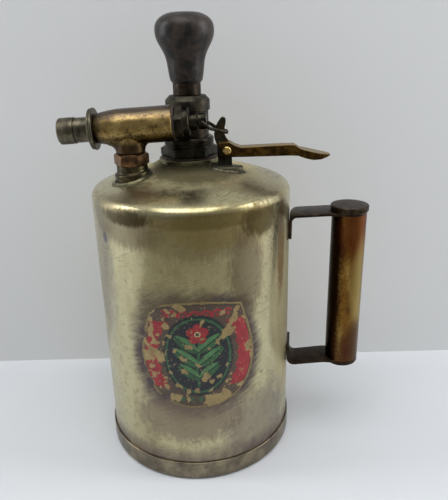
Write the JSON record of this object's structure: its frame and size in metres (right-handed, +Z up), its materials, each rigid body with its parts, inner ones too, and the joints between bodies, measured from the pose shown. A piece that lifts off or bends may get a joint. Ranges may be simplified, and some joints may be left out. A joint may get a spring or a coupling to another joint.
{
  "type": "hand sprayer",
  "caption": "Brass pressure hand sprayer: round tank with a black-knobbed pump on its crown, side spray head with squeeze lever, and an upright tube grip.",
  "frame": {"origin": "centre of the foot ring, on the surface the sprayer stands on", "axes": "+Z up along the tank axis, +X towards the grip, -X towards the nozzle"},
  "size_m": [0.1683, 0.1164, 0.2566],
  "materials": {
    "tank_brass": "satin",
    "foot_brass": "satin",
    "head_brass": "satin",
    "dark_brass": "satin",
    "grip_brass": "satin",
    "lever_brass": "satin",
    "steel_wire": "satin",
    "black_wood": "gloss",
    "leather": "matte",
    "rubber": "matte"
  },
  "bodies": {
    "tank": {"tank_shell": "tank_brass", "base_pan": "foot_brass", "seat_ring": "tank_brass", "riser_flange": "head_brass", "riser_nut": "head_brass", "dip_tube": "head_brass", "strainer": "head_brass", "valve_body": "head_brass", "nozzle_tube": "head_brass", "rear_disc": "dark_brass", "front_disc": "dark_brass", "gland_washer": "leather", "gland_nut": "head_brass", "gland_packing": "leather", "packing_nut": "dark_brass", "return_spring": "steel_wire", "lever_bracket": "lever_brass", "pivot_pin": "steel_wire", "grip_tube": "grip_brass", "grip_cap": "dark_brass", "grip_foot": "dark_brass", "grip_rod": "steel_wire", "upper_strap": "dark_brass", "lower_strap": "dark_brass"},
    "swirl": {"swirl_disc": "head_brass"},
    "nozzle": {"nozzle_cap": "head_brass"},
    "pump_seal": {"pump_washer": "leather"},
    "pump": {"pump_boss": "dark_brass", "pump_barrel": "head_brass", "pump_cap": "dark_brass", "rod_guide": "dark_brass", "foot_plug": "head_brass", "foot_cage": "head_brass", "foot_spring": "steel_wire"},
    "check": {"foot_disc": "rubber"},
    "plunger": {"pump_rod": "steel_wire", "piston_plate": "head_brass", "piston_cup": "leather", "piston_spreader": "head_brass", "piston_nut": "head_brass", "knob_ferrule": "dark_brass", "knob": "black_wood"},
    "valve": {"valve_stem": "head_brass", "stem_washer": "rubber", "stirrup": "steel_wire"},
    "lever": {"lever": "lever_brass"}
  },
  "joints": [
    {"name": "pump_lift", "type": "slide", "parent": "tank", "child": "pump_seal", "axis": [0, 0, 1], "range_m": [0, 0.00226]},
    {"name": "pump_unscrew", "type": "hinge", "parent": "pump_seal", "child": "pump", "pos_m": [-0.0011, 0.0054, 0], "axis": [0, 0, 1], "range_deg": [0, 540]},
    {"name": "plunger_stroke", "type": "slide", "parent": "pump", "child": "plunger", "axis": [0, 0, 1], "range_m": [0, 0.15]},
    {"name": "check_open", "type": "slide", "parent": "pump", "child": "check", "axis": [0, 0, -1], "range_m": [0, 0.002], "stiffness_N_per_m": 40, "springref_m": -0.004, "deforming": ["foot_spring"]},
    {"name": "lever_squeeze", "type": "hinge", "parent": "tank", "child": "lever", "pos_m": [0.02239, -0.0076, 0.1862], "axis": [-0.1219, 0.9925, 0], "range_deg": [0, 14], "stiffness_Nm_per_rad": 0.3, "springref_deg": -17.19},
    {"name": "valve_open", "type": "slide", "parent": "tank", "child": "valve", "axis": [0.9912, 0.1217, 0.0523], "range_m": [0, 0.0023], "deforming": ["return_spring"]},
    {"name": "nozzle_travel", "type": "slide", "parent": "tank", "child": "swirl", "axis": [-0.9912, -0.1217, -0.0523], "range_m": [0, 0.00601]},
    {"name": "nozzle_unscrew", "type": "hinge", "parent": "swirl", "child": "nozzle", "pos_m": [-0.0286, -0.019, 0.2003], "axis": [-0.9912, -0.1217, -0.0523], "range_deg": [0, 2160]}
  ],
  "couplings": [
    {"joint": "pump_lift", "follows": "pump_unscrew", "m_per_rad": 0.00023873},
    {"joint": "nozzle_travel", "follows": "nozzle_unscrew", "m_per_rad": 0.00015915},
    {"joint": "valve_open", "follows": "lever_squeeze", "m_per_rad": 0.0091}
  ]
}
